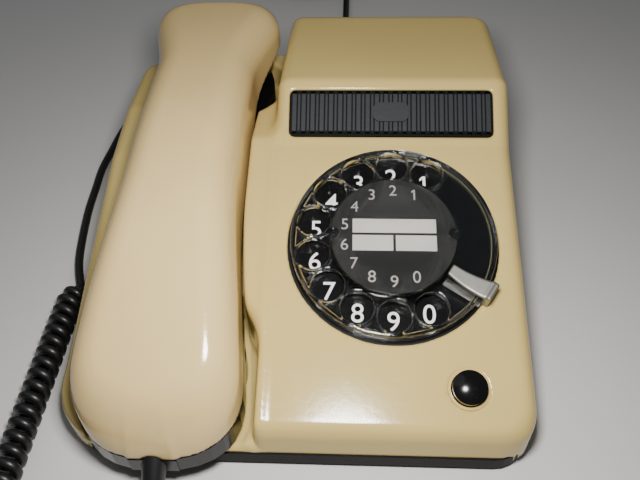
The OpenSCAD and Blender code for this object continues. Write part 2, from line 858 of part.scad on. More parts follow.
module handset_upper_shell() color("#d6c9ab") {
    difference() {
        handset_form(0, split_h);
        difference() {
            handset_form(wall, split_h + 20);
            for (y = handset_screw_ys) translate([handset_x, y, 0]) cylinder(r = 4, h = 120);
        }
        for (y = handset_screw_ys) translate([handset_x, y, 0])
            cylinder(r = 1.6, h = top_at(y) - 12);
        relief_path(5);
    }
}

module handset_lower_shell() color("#161617") {
    difference() {
        intersection() {
            handset_plan(0, mouth_floor + 1.4, 120);
            below(split_h);
        }
        below(grip_h);
        translate([handset_x, ear_y, 0]) cylinder(r = ear_bore, h = 120);
        translate([handset_x, mouth_cap_y, 0]) cylinder(r = mouth_bore, h = 120);
        for (y = handset_screw_ys) translate([handset_x, y, 0]) {
            cylinder(r = 1.8, h = 120);
            cylinder(r = 3.3, h = top_at(y) - grip_h + 2.4);
        }
        relief_path(5);
    }
}

// Cap with a ring of holes, bored out above its floor and cut by the lower shell
module cap(y, z, r, bore, holes) {
    intersection() {
        below(grip_h);
        translate([handset_x, y, z]) difference() {
            cylinder(r = r, h = 60);
            translate([0, 0, wall]) cylinder(r = bore, h = 60);
            for (k = [0 : holes - 1]) rotate([0, 0, k * 360 / holes])
                translate([8, 0, -1]) cylinder(r = 1.3, h = 5);
            translate([0, 0, -1]) cylinder(r = 1.3, h = 5);
        }
    }
}

module ear_cap() color("#161617") {
    cap(ear_y, ear_floor + 2, 29.8, ear_bore, 8);
}

module mouth_cap() color("#161617") {
    cap(mouth_cap_y, mouth_floor + 1.4, 28, mouth_bore, 6);
}

module receiver_capsule() color("#8f9296") {
    translate([handset_x, ear_y, ear_floor + 5.2]) {
        cylinder(r = 21, h = 9);
        cylinder(r = 17, h = 14);
    }
}

module transmitter_capsule() color("#a9a9a4") {
    translate([handset_x, mouth_cap_y, mouth_floor + 4.6]) {
        cylinder(r = 21, h = 7);
        cylinder(r = 16, h = 11);
    }
}

module handset_screws() color("#b9bbbd") {
    for (y = handset_screw_ys) translate([handset_x, y, top_at(y) - grip_h]) {
        translate([0, 0, 0.4]) cylinder(r = 3, h = 2);
        translate([0, 0, 2.4]) cylinder(r = 1.6, h = 11);
    }
}

// Cone that carries the cord out of the handset's front, down to the surface
module relief_path(r1) {
    translate([handset_x, relief_y, relief_z]) rotate([90 + relief_dip, 0, 0])
        cylinder(r1 = r1, r2 = lead_r + 0.6, h = relief_l);
}

module handset_strain_relief() color("#141415") {
    relief_path(4.9);
}

base_plate();
rubber_feet();
housing();
housing_screws();
grille();
grille_badge();
dial_case();
number_plate();
finger_stop();
dial_frame();
pulse_contacts();
governor_cup();
dial_spring();
finger_wheel();
number_card();
card_cover();
cover_clips();
dial_shaft();
drive_gear();
pulse_cam();
governor_shaft();
governor_weights();
button_collar();
button_cap();
button_spring();
button_contacts();
hook_plunger();
hook_spring();
hook_switch();
ringer_frame();
ringer_coils();
ringer_magnet();
ringer_pivot();
clapper();
gong_large();
gong_small();
gong_posts();
gong_screws();
circuit_board();
speech_transformer();
line_capacitor();
resistors();
terminal_block();
line_gland();
line_cord();
line_cord_coil();
line_plug();
handset_gland();
handset_cord_tail();
handset_cord_curl();
handset_cord_lead();
handset_upper_shell();
handset_lower_shell();
ear_cap();
mouth_cap();
receiver_capsule();
transmitter_capsule();
handset_screws();
handset_strain_relief();
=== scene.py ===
import math
import bpy
import numpy as np
import openvdb
from mathutils import Matrix, Vector


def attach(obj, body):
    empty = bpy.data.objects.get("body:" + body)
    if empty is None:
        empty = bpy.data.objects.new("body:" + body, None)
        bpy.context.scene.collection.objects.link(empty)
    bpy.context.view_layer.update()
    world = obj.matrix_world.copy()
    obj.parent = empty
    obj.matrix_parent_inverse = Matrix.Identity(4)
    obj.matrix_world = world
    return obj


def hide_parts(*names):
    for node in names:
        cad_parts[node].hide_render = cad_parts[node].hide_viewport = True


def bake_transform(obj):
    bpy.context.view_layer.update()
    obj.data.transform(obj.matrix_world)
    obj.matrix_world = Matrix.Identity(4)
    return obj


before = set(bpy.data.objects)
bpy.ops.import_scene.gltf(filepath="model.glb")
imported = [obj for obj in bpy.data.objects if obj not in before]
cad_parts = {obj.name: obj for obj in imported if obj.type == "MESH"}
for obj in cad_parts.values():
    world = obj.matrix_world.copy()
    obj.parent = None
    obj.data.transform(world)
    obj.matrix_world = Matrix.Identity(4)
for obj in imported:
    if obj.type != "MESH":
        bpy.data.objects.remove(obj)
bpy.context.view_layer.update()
mm = 0.001

print("camera")
cameraSet = {"place": (21.8, -208.75, 233.5), "pitch": 45.28, "yaw": 3.68, "roll": -1.96, "lens": 37.11}


def viewAxes(s):
    pitch, yaw, roll = (math.radians(s[key]) for key in ("pitch", "yaw", "roll"))
    ahead = Vector((-math.sin(yaw) * math.cos(pitch), math.cos(yaw) * math.cos(pitch), -math.sin(pitch)))
    side = Vector((math.cos(yaw), math.sin(yaw), 0))
    up = side.cross(ahead)
    right = side * math.cos(roll) + up * math.sin(roll)
    top = up * math.cos(roll) - side * math.sin(roll)
    return right, top, ahead


def addCamera(s):
    lensData = bpy.data.cameras.new("viewer")
    lensData.lens = s["lens"]
    lensData.clip_start = 0.01
    viewer = bpy.data.objects.new("viewer", lensData)
    right, top, ahead = viewAxes(s)
    turn = Matrix((right, top, -ahead)).transposed().to_4x4()
    viewer.matrix_world = Matrix.Translation(Vector(s["place"]) * mm) @ turn
    bpy.context.collection.objects.link(viewer)
    bpy.context.scene.camera = viewer


addCamera(cameraSet)


class Wire:  # an output socket that can be used in sums
    def __init__(self, paint, socket):
        self.paint, self.socket = paint, socket

    def sum(self, operation, first, second):
        return self.paint.node("ShaderNodeMath", {"operation": operation}, {0: first, 1: second})

    def __add__(self, other):
        return self.sum("ADD", self, other)

    def __radd__(self, other):
        return self.sum("ADD", other, self)

    def __sub__(self, other):
        return self.sum("SUBTRACT", self, other)

    def __rsub__(self, other):
        return self.sum("SUBTRACT", other, self)

    def __mul__(self, other):
        return self.sum("MULTIPLY", self, other)

    def __rmul__(self, other):
        return self.sum("MULTIPLY", other, self)


class Paint:  # a material and the nodes that feed its shader
    def __init__(self, name, values):
        self.mat = bpy.data.materials.new(name)
        self.mat.use_nodes = True
        self.tree = self.mat.node_tree
        self.shader = self.tree.nodes["Principled BSDF"]
        for key, value in values.items():
            self.shader.inputs[key].default_value = value
        self.place = self.node("ShaderNodeTexCoord", {}, {}, "Object")

    def node(self, kind, settings, sockets, out=0):
        made = self.tree.nodes.new(kind)
        for key, value in settings.items():
            if key == "stops":
                for stop, (at, colour) in zip(self.stopsOf(made, len(value)), value):
                    stop.position, stop.color = at, colour
            else:
                setattr(made, key, value)
        for key, value in sockets.items():
            if isinstance(value, Wire):
                self.tree.links.new(value.socket, made.inputs[key])
            else:
                made.inputs[key].default_value = value
        return Wire(self, made.outputs[out])

    def stopsOf(self, made, count):
        stops = made.color_ramp.elements
        while len(stops) < count:
            stops.new(0.5)
        return stops

    def noise(self, scale, detail=4, roughness=0.55, stretch=None):
        place = self.place
        if stretch:
            place = self.node("ShaderNodeMapping", {}, {"Vector": place, "Scale": stretch})
        return self.node("ShaderNodeTexNoise", {},
                         {"Vector": place, "Scale": scale, "Detail": detail, "Roughness": roughness})

    def ramp(self, value, stops):
        grey = [(at, (level, level, level, 1)) for at, level in stops]
        return self.node("ShaderNodeValToRGB", {"stops": grey}, {"Fac": value})

    def blend(self, amount, first, second):
        return self.node("ShaderNodeMix", {"data_type": "RGBA"}, {0: amount, 6: first, 7: second}, 2)

    def feed(self, key, wire):
        self.tree.links.new(wire.socket, self.shader.inputs[key])

    def bump(self, height, strength, distance):
        self.feed("Normal", self.node("ShaderNodeBump", {}, {"Height": height, "Strength": strength,
                                                             "Distance": distance}))


def rgb(r, g, b):  # screen colour, 0 to 255, as the linear colour that a shader takes
    return tuple(((v / 255 + 0.055) / 1.055) ** 2.4 if v > 10 else v / 3294 for v in (r, g, b)) + (1,)


def shade(colour, factor):
    return tuple(v * factor for v in colour[:3]) + (1,)


def plastic(name, look):  # moulded plastic: mottled colour, fine scratches, dust and a little orange peel
    paint = Paint(name, {"Specular IOR Level": look.get("specular", 0.5),
                         "Coat Roughness": look.get("coatRoughness", 0.08)})
    colour = look["colour"]
    mottle = paint.noise(look.get("mottleScale", 18), 3)
    aged = paint.blend(paint.ramp(mottle, [(0.3, 0), (0.7, 1)]), colour,
                       shade(colour, look.get("aged", 0.93)))
    grime = paint.ramp(paint.noise(150, 8, 0.75), [(0.56, 0), (0.72, 1)]) * look.get("grime", 0.1)
    stained = paint.blend(grime, aged, look.get("grimeColour", shade(colour, 0.55)))
    specks = paint.ramp(paint.noise(900, 2, 0.4), [(0.74, 0), (0.78, 1)]) * look.get("specks", 0.25)
    paint.feed("Base Color", paint.blend(specks, stained, look.get("speckColour", shade(colour, 0.35))))
    scratches = paint.ramp(paint.noise(60, 6, 0.8, (1, 14, 3)), [(0.6, 0), (0.68, 1)])
    wear = paint.noise(35, 5)
    paint.feed("Roughness", look["roughness"] + wear * look.get("roughSpread", 0.12) + scratches * 0.08
               + grime * 0.6)
    paint.feed("Coat Weight", look.get("coat", 0.3) - grime * look.get("coat", 0.3))
    peel = paint.noise(look.get("peelScale", 420), 2, 0.5)
    paint.bump(peel + scratches * 0.15, look.get("peel", 0.05), 0.0004)
    return paint.mat


def metal(name, look):  # bare or plated metal with a brushed or cast grain
    paint = Paint(name, {"Metallic": 1.0})
    grain = paint.noise(look.get("grain", 300), 4, 0.6, look.get("stretch", (1, 1, 12)))
    stain = paint.ramp(paint.noise(60, 6, 0.7), [(0.45, 0), (0.75, 1)])
    base = paint.blend(grain, look["colour"], shade(look["colour"], 0.72))
    paint.feed("Base Color", paint.blend(stain * look.get("stain", 0.35), base, look.get("stainColour",
                                         shade(look["colour"], 0.4))))
    paint.feed("Roughness", look["roughness"] + grain * 0.18 + stain * 0.12)
    paint.bump(grain, look.get("bump", 0.12), 0.0003)
    return paint.mat


def clearPlastic(name, look):  # polished acrylic with fine scratches and a trace of dust
    paint = Paint(name, {"Transmission Weight": 1.0, "IOR": 1.49, "Specular IOR Level": 0.5})
    dust = paint.ramp(paint.noise(240, 8, 0.75), [(0.55, 0), (0.8, 1)])
    scratches = paint.ramp(paint.noise(90, 6, 0.8, (1, 16, 1)), [(0.62, 0), (0.7, 1)])
    paint.feed("Base Color", paint.blend(dust * 0.25, look["colour"], shade(look["colour"], 0.8)))
    paint.feed("Roughness", look["roughness"] + dust * 0.05 + scratches * 0.1)
    paint.bump(scratches + dust * 0.3, 0.03, 0.0002)
    return paint.mat


def printed(name, colour, roughness, paintedGlow=0):  # ink or paper, slightly uneven; any glow given is painted light, brightening it beyond what the lamps give
    paint = Paint(name, {"Specular IOR Level": 0.3, "Emission Strength": paintedGlow})
    uneven = paint.noise(500, 5, 0.6)
    yellowed = paint.noise(40, 3)
    toned = paint.blend(yellowed, colour, shade(colour, 0.88))
    tone = paint.blend(uneven * 0.5, toned, shade(colour, 0.92))
    paint.feed("Base Color", tone)
    # the same tone also glows: painted light
    paint.feed("Emission Color", tone)
    paint.feed("Roughness", roughness + uneven * 0.15)
    paint.bump(uneven, 0.06, 0.0002)
    return paint.mat


looks = {
    "housing": {"colour": rgb(207, 183, 114), "roughness": 0.12, "roughSpread": 0.06, "coat": 0.05,
                "specular": 0.35, "aged": 0.94, "specks": 0.2},
    "handset": {"colour": rgb(221, 193, 134), "roughness": 0.11, "roughSpread": 0.05, "coat": 0.15,
                "specular": 0.4, "aged": 0.95, "specks": 0.3},
    "blackGloss": {"colour": rgb(13, 13, 14), "roughness": 0.12, "coat": 0.1, "specular": 0.35,
                   "grimeColour": rgb(70, 68, 64), "speckColour": rgb(90, 88, 84), "specks": 0.3,
                   "grime": 0.06},
    "blackSatin": {"colour": rgb(13, 13, 14), "roughness": 0.5, "coat": 0.0, "specular": 0.2,
                   "grimeColour": rgb(80, 76, 70), "speckColour": rgb(100, 96, 90), "peel": 0.15},
    "grille": {"colour": rgb(44, 47, 50), "roughness": 0.5, "coat": 0.0, "grimeColour": rgb(84, 82, 78),
               "speckColour": rgb(100, 94, 84), "peel": 0.2, "grime": 0.12, "specular": 0.3},
    # the grille under the ribs in near-black, darker than its own plastic: painted shade standing in for
    # the dark inside its slots
    "grillePaintedShade": {"colour": rgb(9, 10, 11), "roughness": 0.6, "coat": 0.0, "grimeColour": rgb(40, 38, 36),
                   "speckColour": rgb(60, 56, 50), "peel": 0.2, "specular": 0.15},
    "cord": {"colour": rgb(20, 20, 21), "roughness": 0.36, "coat": 0.1, "grimeColour": rgb(74, 70, 66),
             "speckColour": rgb(96, 92, 86), "peel": 0.1},
    "rubber": {"colour": rgb(30, 30, 30), "roughness": 0.75, "coat": 0.0, "grimeColour": rgb(90, 86, 80),
               "speckColour": rgb(110, 104, 96), "peel": 0.3},
    "pale": {"colour": rgb(214, 208, 190), "roughness": 0.4, "coat": 0.0},
    "board": {"colour": rgb(150, 110, 48), "roughness": 0.5, "coat": 0.1, "mottleScale": 60, "aged": 0.8},
    "varnish": {"colour": rgb(96, 44, 26), "roughness": 0.3, "coat": 0.3, "mottleScale": 90, "aged": 0.7},
    "ochre": {"colour": rgb(190, 150, 62), "roughness": 0.35, "coat": 0.2, "aged": 0.85},
    "laminated": {"colour": rgb(78, 62, 42), "roughness": 0.5, "coat": 0.1, "mottleScale": 140,
                  "aged": 0.6},
}
cream = plastic("creamHousing", looks["housing"])
warmCream = plastic("creamHandset", looks["handset"])
blackGloss = plastic("blackGloss", looks["blackGloss"])
blackSatin = plastic("blackSatin", looks["blackSatin"])
cordVinyl = plastic("cordVinyl", looks["cord"])
zinc = metal("castZinc", {"colour": rgb(168, 166, 158), "roughness": 0.42, "stretch": (1, 1, 1),
                          "grain": 500})
steel = metal("platedSteel", {"colour": rgb(176, 178, 180), "roughness": 0.28})
wireSteel = metal("springSteel", {"colour": rgb(150, 152, 155), "roughness": 0.32, "stretch": (1, 1, 90)})
brass = metal("brass", {"colour": rgb(196, 166, 92), "roughness": 0.3})
nickel = metal("nickelPlate", {"colour": rgb(200, 197, 186), "roughness": 0.16, "bump": 0.05})
iron = metal("magnetIron", {"colour": rgb(96, 98, 102), "roughness": 0.5, "stretch": (1, 1, 1)})
acrylic = clearPlastic("clearAcrylic", {"colour": rgb(246, 249, 250), "roughness": 0.02})
# the white inks and the label paper glow a little: painted light that brightens them beyond what the lamps
# give
whiteInk = printed("whiteInk", rgb(240, 240, 236), 0.35, 0.15)
cardInk = printed("cardInk", rgb(226, 220, 210), 0.4, 0.15)
cardGrey = printed("cardGrey", rgb(66, 65, 64), 0.45)
labelPaper = printed("labelPaper", rgb(252, 246, 236), 0.6, 0.2)


def smoothRoute(points, steps):  # the curve that the CAD cords follow
    p = [Vector(q) for q in points]
    out = []
    for i in range(len(p) - 1):
        a, b, c, d = p[max(i - 1, 0)], p[i], p[i + 1], p[min(i + 2, len(p) - 1)]
        for k in range(steps):
            t = k / steps
            out.append(0.5 * (2 * b + (c - a) * t + (2 * a - 5 * b + 4 * c - d) * t * t
                              + (3 * b - a - 3 * c + d) * t ** 3))
    return out + [p[-1]]


def routeLength(path):
    return sum((b - a).length for a, b in zip(path, path[1:]))


def addPiece(name, verts, faces, material, body, stands=(), crease=35):
    mesh = bpy.data.meshes.new(name)
    mesh.from_pydata([tuple(v) for v in verts], [], [tuple(f) for f in faces])
    mesh.update()
    mesh.shade_smooth()
    if crease:
        mesh.set_sharp_from_angle(angle=math.radians(crease))
    mesh.materials.append(material)
    piece = bpy.data.objects.new(name, mesh)
    bpy.context.collection.objects.link(piece)
    if body:
        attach(piece, body)
    if stands:
        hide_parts(*stands)
    return piece


def sweep(path, radius, sides):  # tube of even thickness; the ring doesn't twist along the path
    verts, faces = [], []
    side = None
    for i, at in enumerate(path):
        ahead = (path[min(i + 1, len(path) - 1)] - path[max(i - 1, 0)]).normalized()
        if side is None:
            side = ahead.cross(Vector((0, 0, 1))).normalized()
        side = (side - ahead * side.dot(ahead)).normalized()
        other = ahead.cross(side)
        for k in range(sides):
            turn = 2 * math.pi * k / sides
            verts.append((at + radius * (side * math.cos(turn) + other * math.sin(turn))) * mm)
    for i in range(len(path) - 1):
        for k in range(sides):
            a, b = i * sides + k, i * sides + (k + 1) % sides
            faces.append((a, b, b + sides, a + sides))
    faces.append(tuple(reversed(range(sides))))
    faces.append(tuple(range((len(path) - 1) * sides, len(path) * sides)))
    return verts, faces


print("cords")
lineSet = {
    "thick": 4.5, "sides": 12, "gap": 4.6, "outer": 35.05, "turns": 3.5, "layers": 3, "samples": 16,
    "riser": 3, "lastUp": 2.05, "centre": (-18.05, 322), "plug": [(-28, 304.6, 15), (-19.3, 303.2, 19.2)],
    "route": [(15, 127.2, 4.4), (15, 133, 3.2), (15, 141, 2.25), (15.5, 156, 2.25), (16, 175, 2.25),
              (16.5, 195, 2.25), (17, 215, 2.25), (17, 235, 2.25), (17, 255, 2.25), (17, 272, 2.25),
              (17, 286, 2.25), (17, 300, 2.25), (17, 311, 2.25)],
}
handsetCordSet = {
    "thick": 4, "sides": 10, "loop": 4, "pitch": 5.55, "ramp": 11, "samples": 14,
    "tail": [(-72, 127.2, 4.4), (-73, 132, 3.3), (-77, 137, 2.3), (-84, 141, 2), (-93, 142, 2),
             (-102, 138, 2), (-109, 129, 2), (-113, 118, 2), (-115, 105, 2), (-116, 90, 2), (-117, 74, 2),
             (-116, 58, 2), (-115, 42, 2), (-113, 26, 2), (-110, 8, 2), (-107, -3, 2)],
    "curl": [(-103.5, -12, 2), (-103.5, -40, 2), (-103, -70, 2), (-102.5, -100, 2), (-101.5, -120, 2),
             (-99, -137, 2), (-92, -151, 2), (-80, -159, 2), (-67, -158, 2), (-57, -150, 2)],
    "lead": [(-52, -143, 2), (-48, -136, 2.1), (-45.8, -129, 2.8), (-45.5, -122.8, 4.3)],
}


def coilPath(s):  # layers of flat spirals, wound in, out and in again
    path = []
    angle, low = 0.0, s["thick"] / 2
    inner = s["outer"] - s["gap"] * s["turns"]
    step = 360 / s["samples"]
    for layer in range(s["layers"]):
        start, stop = (s["outer"], inner) if layer % 2 == 0 else (inner, s["outer"])
        count = round(s["turns"] * s["samples"])
        for k in range(count):
            path.append((angle, start + (stop - start) * k / count, low + layer * s["gap"]))
            angle += step
        if layer < s["layers"] - 1:
            for k in range(s["riser"]):
                path.append((angle, stop, low + (layer + k / s["riser"]) * s["gap"]))
                angle += step
    path.append((angle, inner, low + s["lastUp"] * s["gap"]))
    cx, cy = s["centre"]
    return [Vector((cx + r * math.cos(math.radians(a)), cy + r * math.sin(math.radians(a)), z))
            for a, r, z in path]


def curlPath(s):  # the curly part: a helix along its route, growing from the plain cord at both ends
    centre = smoothRoute(s["curl"], 12)
    whole = routeLength(centre)
    count = round(whole / s["pitch"]) * s["samples"]
    path = []
    samples = np.array([0] + list(np.cumsum([(b - a).length for a, b in zip(centre, centre[1:])])))
    array = np.array([tuple(c) for c in centre])
    for k in range(count + 1):
        done = whole * k / count
        at = Vector([float(np.interp(done, samples, array[:, i])) for i in range(3)])
        near = Vector([float(np.interp(min(done + 1, whole), samples, array[:, i])
                             - np.interp(max(done - 1, 0), samples, array[:, i])) for i in range(3)])
        side = near.normalized().cross(Vector((0, 0, 1)))
        t = min(done / s["ramp"], (whole - done) / s["ramp"], 1)
        loop = s["loop"] * t * t * (3 - 2 * t)
        turn = 2 * math.pi * k / s["samples"]
        path.append(at + Vector((0, 0, loop)) + side * loop * math.sin(turn)
                    - Vector((0, 0, loop * math.cos(turn))))
    return path


linePath = smoothRoute([*lineSet["route"], *[tuple(p) for p in coilPath(lineSet)]], 2)
linePath += smoothRoute([tuple(linePath[-1]), *lineSet["plug"]], 4)[1:]
verts, faces = sweep(linePath, lineSet["thick"] / 2, lineSet["sides"])
lineCord = addPiece("lineCord", verts, faces, cordVinyl, "body",
                    ("line_cord", "line_cord_coil"), None)
tuple(linePath[0] * mm)
round(routeLength(linePath) * mm, 3)
[tuple(p * mm) for p in linePath]
print("line cord length", round(routeLength(linePath)))

tail = smoothRoute([*handsetCordSet["tail"], handsetCordSet["curl"][0]], 3)
lead = smoothRoute([handsetCordSet["curl"][-1], *handsetCordSet["lead"]], 4)
cordPath = tail[:-1] + curlPath(handsetCordSet) + lead[1:]
verts, faces = sweep(cordPath, handsetCordSet["thick"] / 2, handsetCordSet["sides"])
handsetCord = addPiece("handsetCord", verts, faces, cordVinyl, None,
                       ("handset_cord_tail", "handset_cord_curl", "handset_cord_lead"), None)
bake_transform(handsetCord)
tuple(cordPath[0] * mm)
round(routeLength(cordPath) * mm, 3)
[tuple(p * mm) for p in cordPath]
print("handset cord length", round(routeLength(cordPath)))


def hardMax(*fields):
    out = fields[0]
    for field in fields[1:]:
        out = np.maximum(out, field)
    return out


def roundMax(a, b, r):  # where both are inside, with the edge between them rounded
    return np.minimum(np.maximum(a, b), -r) + np.hypot(np.maximum(a + r, 0), np.maximum(b + r, 0))


def roundMin(a, b, r):  # the two together, with a fillet between them
    return np.maximum(np.minimum(a, b), r) - np.hypot(np.maximum(r - a, 0), np.maximum(r - b, 0))


def roundedOutline(corners, radii, steps=10):
    out = []
    n = len(corners)
    for i, r in enumerate(radii):
        here = Vector(corners[i])
        if r <= 0:
            out.append(tuple(here))
            continue
        a = (Vector(corners[i - 1]) - here).normalized()
        b = (Vector(corners[(i + 1) % n]) - here).normalized()
        half = math.acos(a.dot(b)) / 2
        middle = here + (a + b).normalized() * r / math.sin(half)
        start, stop = here + a * r / math.tan(half) - middle, here + b * r / math.tan(half) - middle
        sweepAngle = math.pi - 2 * half
        for k in range(steps + 1):
            t = k / steps
            out.append(tuple(middle + (math.sin((1 - t) * sweepAngle) * start
                                       + math.sin(t * sweepAngle) * stop) / math.sin(sweepAngle)))
    return out


def outlineField(points, u, v):  # distance to a closed outline, negative inside
    u, v = np.broadcast_arrays(u, v)
    best = np.full(u.shape, 1e9, np.float32)
    inside = np.zeros(u.shape, bool)
    for (ax, ay), (bx, by) in zip(points, [*points[1:], points[0]]):
        ex, ey = bx - ax, by - ay
        if abs(ex) + abs(ey) < 1e-6:
            continue
        wu, wv = u - ax, v - ay
        t = np.clip((wu * ex + wv * ey) / (ex * ex + ey * ey), 0, 1)
        best = np.minimum(best, (wu - ex * t) ** 2 + (wv - ey * t) ** 2)
        if abs(ey) > 1e-9:
            inside ^= ((ay > v) != (by > v)) & (u < ex * (v - ay) / ey + ax)
    return np.where(inside, -1, 1) * np.sqrt(best)


def gridAxes(low, high, cell):
    past = 3 * cell
    axes = [np.arange(a - past, b + past, cell).astype(np.float32) for a, b in zip(low, high)]
    return axes[0][:, None, None], axes[1][None, :, None], axes[2][None, None, :]


def sample(field, at):  # value between grid points
    base = np.clip(np.floor(at).astype(int), 0, np.array(field.shape) - 2)
    f = at - base
    out = np.zeros(len(at))
    for i in (0, 1):
        for j in (0, 1):
            for k in (0, 1):
                weight = (np.abs(1 - i - f[:, 0]) * np.abs(1 - j - f[:, 1]) * np.abs(1 - k - f[:, 2]))
                out += weight * field[base[:, 0] + i, base[:, 1] + j, base[:, 2] + k]
    return out


def carve(field, axes, cell):  # skin of the inside of a distance field
    grid = openvdb.FloatGrid(float(field.max()))
    grid.copyFromArray(np.ascontiguousarray(field, np.float32))
    grid.transform = openvdb.createLinearTransform(voxelSize=1.0)
    points, quads = grid.convertToQuads(isovalue=0.0)
    at = np.asarray(points, float)
    slopes = np.gradient(field.astype(np.float32))
    flattest, farthest = 0.05, 0.4
    for step in range(2):
        value = sample(field, at)
        slope = np.stack([sample(s, at) for s in slopes], 1)
        length = np.maximum((slope ** 2).sum(1), flattest)
        at = at - slope * np.clip(value / length, -farthest, farthest)[:, None]
    low = np.array([axis.flat[0] for axis in axes])
    quads = np.asarray(quads, int)
    a, b, c = (at[quads[:, i]] for i in range(3))
    outward = np.stack([sample(s, at[quads[:, 0]]) for s in slopes], 1)
    if (np.cross(b - a, c - a) * outward).sum() < 0:
        quads = quads[:, ::-1]
    return at * cell + low, quads


bodySet = {
    "width": 178, "front": -97.45, "rear": 107.15, "under": -20, "top": 80.5, "bottom": 8, "skirt": 4.5,
    "skirtThick": 1.1, "faceZ": 22.7, "crease": (15.6, 63.4), "ridge": (39.76, 80.32), "rearDrop": 2.2,
    "blockLeft": -13, "lean": 0.0255, "blockRadii": (0, 7, 3, 5, 9, 0), "ledgeLap": 2,
    "ledgeTop": ((-97.45, 22.7), (19.6, 64.4), (60, 61), (107.15, 56)), "ledgeRadii": (0, 7, 8, 8, 6, 0),
    "leftTop": ((-97.45, 20), (-68, 20.5), (28, 48.5), (60, 52.8), (107.15, 52)),
    "leftRadii": (0, 6, 30, 12, 8, 6, 0), "planRadii": (28, 13, 13, 14), "edge": 6, "fillet": 5,
    "wall": 2.5, "cell": 1.0, "posts": ((-79, 88), (80, 92), (-82.5, -58), (80, -60)), "postR": 4.4,
    "faceCut": 5.5, "glands": (15, -72), "glandZ": 8, "glandR": 4.1, "glandDeep": 15, "hookHole": (52, 4.1),
}
cradleSet = {"fit": 1.2, "mouthFloor": 11.2, "mouthEnd": -37, "earY": 69, "earR": 31.7, "earFloor": 44,
             "wellR": 36, "wellX": -13.2, "blend": 1.5, "edge": 1.6}
scoopSet = {"x": -12, "y": -68, "r": 27.2, "floor": 12.2, "edge": 4}
dialSet = {"centre": (38.5, -26.6017, 48.207), "up": 75.3, "tilt": 19.8, "openR": 41.3, "openEdge": 0.9}
handsetSet = {
    "x": -45.5, "front": -105.55, "rear": 106.85, "grip": 22, "end": 30.5, "ear": 32.3, "endRound": 27,
    "endPower": 2.4, "endFlat": 0.28, "mouthFlare": (-5, 95), "earFlare": (48, 55), "across": (-76.5, -9.5),
    "heights": (14, 91), "top": 68.4, "slope": 0.26, "split": 21, "gripDepth": 30, "edge": 13,
    "rimEdge": 0.5, "relief": (-101, 18.5), "reliefDip": 33, "reliefR": 5, "archBlend": 2, "lean": 0.015,
    "arch": ((0.907, 132.1), (0.48, 92.2), (0.27, 84), (0.08, 84.6), (-0.02, 91.3), (-1.3, 218)),
    "wall": 2.5, "cell": 0.9,
}
buttonSet = {"x": 64.6, "up": 18.4, "holeR": 7.1, "edge": 0.6}
grilleSet = {"x": 38.5, "up": 14.5, "size": (86, 20.5), "corner": 2.4, "play": 0.2, "tilt": 35, "cut": 4.4,
             "edge": 0.7}


def easeIn(t):
    t = np.clip(t, 0, 1)
    return t * t * (3 - 2 * t)


def lean(y, rate):  # how far an edge drifts to the right, towards the back
    return rate * np.clip(y + 66, 0, None)


def handsetOutline(s, grown):
    k = np.linspace(0, math.pi / 2, 15)
    front, rear, r = s["front"] - grown, s["rear"] + grown, s["endRound"]
    ys = np.concatenate([front + r * (1 - np.cos(k)), np.linspace(front + r, rear - r, 60)[1:-1],
                         rear - r * (1 - np.sin(k))])
    mouth = (s["end"] - s["grip"]) * easeIn((s["mouthFlare"][0] - ys) / s["mouthFlare"][1])
    ear = (s["ear"] - s["grip"]) * easeIn((ys - s["earFlare"][0]) / s["earFlare"][1])
    half = s["grip"] + mouth + ear
    away = np.clip(np.maximum(front + r - ys, ys - rear + r) / r, 0, 1)
    half = (half + grown) * np.maximum((1 - away ** s["endPower"]) ** (1 / s["endPower"]), s["endFlat"])
    middle = s["x"] + lean(ys, s["lean"])
    right = list(zip(middle + half, ys))
    return right + list(zip((middle - half)[::-1], ys[::-1]))


def handsetTop(s, y):  # the line that the parting planes lie below
    return s["top"] + s["slope"] * y


def archTop(s, y):  # height and slope of the arched top, its straight runs blended
    k = s["archBlend"]
    lines = [(slope, start + slope * y) for slope, start in s["arch"]]
    low = np.minimum.reduce([z for slope, z in lines])
    weights = [(slope, np.exp((low - z) / k)) for slope, z in lines]
    total = sum(w for slope, w in weights)
    return low - k * np.log(total), sum(slope * w for slope, w in weights) / total


def onFace(x, y, z, cx, up):  # coordinates on the sloping face, out of its surface last
    a = math.radians(dialSet["tilt"])
    dy = y - bodySet["front"] - up * math.cos(a)
    dz = z - bodySet["faceZ"] - up * math.sin(a)
    return x - cx, dy * math.cos(a) + dz * math.sin(a), dz * math.cos(a) - dy * math.sin(a)


def cradleField(h, s, x, y, z):  # the space for the handset and its cups
    plan = outlineField(handsetOutline(h, s["fit"]), x, y)
    grip = (handsetTop(h, y) - h["gripDepth"] - s["fit"] - z) / math.hypot(1, h["slope"])
    under = np.maximum(plan, grip)
    mouth = hardMax(plan, s["mouthFloor"] - z, y - s["mouthEnd"])
    fromEar = np.hypot(x - h["x"], y - s["earY"])
    ear = np.maximum(fromEar - s["earR"], s["earFloor"] - z)
    wellRight = x - s["wellX"] - lean(y, bodySet["lean"])
    well = hardMax(fromEar - s["wellR"], wellRight, h["x"] - x, s["earFloor"] - z)
    return np.minimum(roundMin(under, ear, s["blend"]), np.minimum(mouth, well))


def scoopField(s, x, y, z):  # the finger scoop beside the handset's front end
    hollow = np.hypot(x - s["x"] + s["r"], y - s["y"]) - s["r"]
    reach = np.minimum(hollow, np.maximum(x - s["x"], y - s["y"]))
    return hardMax(reach, handsetSet["x"] - x, s["floor"] - z)


def sideOutline(s, top, radii):
    return roundedOutline([(s["front"], s["under"]), *top, (s["rear"], s["under"])], radii)


